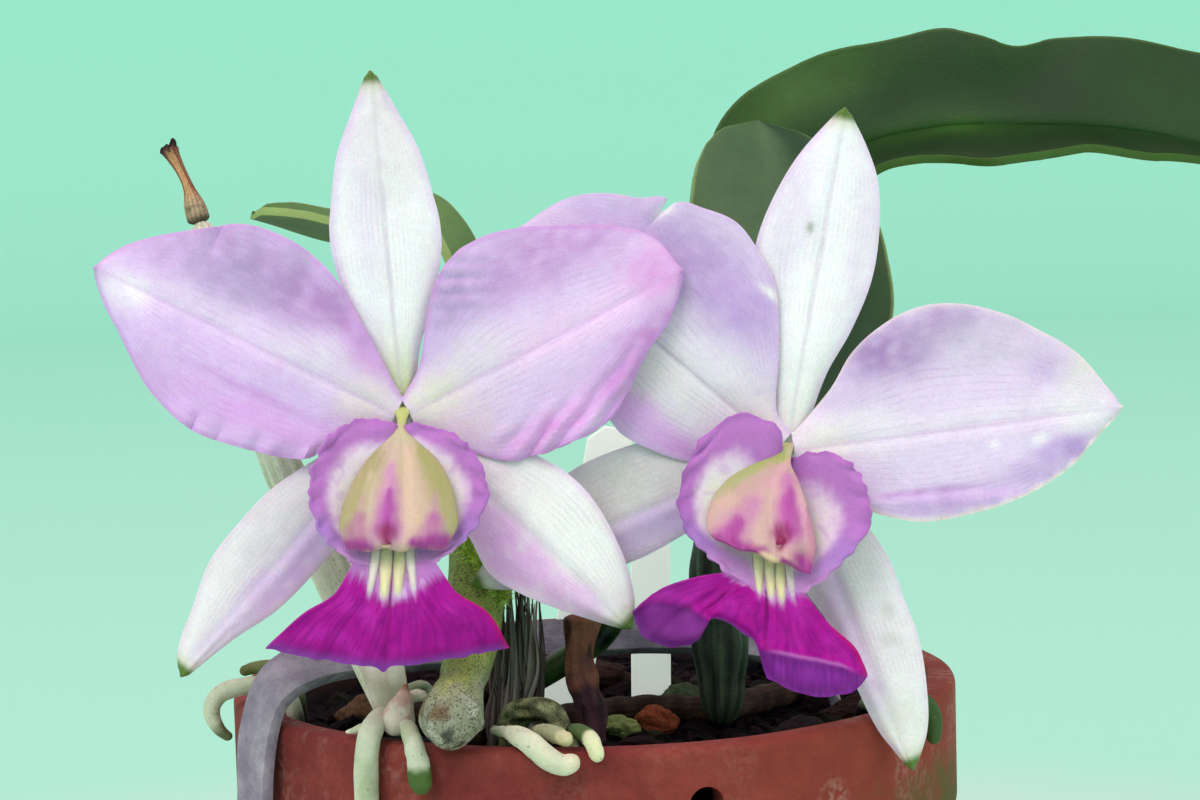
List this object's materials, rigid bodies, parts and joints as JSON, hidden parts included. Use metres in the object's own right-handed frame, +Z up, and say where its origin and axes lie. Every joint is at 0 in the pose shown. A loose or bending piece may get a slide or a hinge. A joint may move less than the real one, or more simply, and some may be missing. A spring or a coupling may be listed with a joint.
{
  "type": "potted cattleya orchid",
  "caption": "Cattleya orchid in bloom in a round terracotta pot, with lilac petals, magenta lips, strap-like leaves, swollen canes and roots over the rim.",
  "frame": {"origin": "middle of the pot's flat underside", "axes": "+Z up, -Y towards the side that the flowers face, +X to the right seen from that side"},
  "size_m": [0.2342, 0.1448, 0.2249],
  "materials": {
    "terracotta": "matte",
    "bark": "rough",
    "living_cane": "satin",
    "dry_cane": "matte",
    "dry_sheath": "matte",
    "moss": "rough",
    "leaf": "satin",
    "bract": "satin",
    "root": "matte",
    "flower_stem": "satin",
    "sepal": "satin",
    "petal": "satin",
    "lip": "satin",
    "column": "satin",
    "anther_cap": "satin",
    "strap_rubber": "matte",
    "tag_plastic": "satin"
  },
  "bodies": {
    "root": {"pot": "terracotta", "growing_medium": "bark", "bark_piece_1": "bark", "bark_piece_2": "bark", "bark_piece_3": "bark", "bark_piece_4": "bark", "bark_piece_5": "bark", "bark_piece_6": "bark", "bark_piece_7": "bark", "bark_piece_8": "bark", "bark_piece_9": "bark", "front_pseudobulb": "living_cane", "right_pseudobulb": "living_cane", "back_pseudobulb": "living_cane", "old_pseudobulb": "dry_cane", "dried_flower_stalk": "dry_cane", "rhizome": "dry_cane", "dry_stub": "dry_cane", "resting_bud": "dry_cane", "flower_stem": "flower_stem", "left_flower_pedicel": "flower_stem", "right_flower_pedicel": "flower_stem", "lying_bract": "bract", "cane_sheath": "dry_sheath", "papery_sheath": "dry_sheath", "moss_tuft": "moss", "leaf_left": "leaf", "leaf_back_right": "leaf", "leaf_arching_right": "leaf", "root_over_front_rim": "root", "root_short_green_tip": "root", "root_left_loop": "root", "root_rim_plump": "root", "root_rim_small": "root", "root_rim_green": "root", "root_right_rim": "root", "root_behind_bud": "root", "root_left_green": "root", "root_pale_left_tip": "root", "root_pale_right_tip": "root", "left_flower_dorsal_sepal": "sepal", "left_flower_left_petal": "petal", "left_flower_right_petal": "petal", "left_flower_left_lateral_sepal": "sepal", "left_flower_right_lateral_sepal": "sepal", "left_flower_lip": "lip", "left_flower_column": "column", "left_flower_anther_cap": "anther_cap", "right_flower_dorsal_sepal": "sepal", "right_flower_left_petal": "petal", "right_flower_right_petal": "petal", "right_flower_left_lateral_sepal": "sepal", "right_flower_right_lateral_sepal": "sepal", "right_flower_lip": "lip", "right_flower_column": "column", "right_flower_anther_cap": "anther_cap", "strap": "strap_rubber", "plant_tag_front": "tag_plastic", "plant_tag_back": "tag_plastic"}
  },
  "joints": []
}
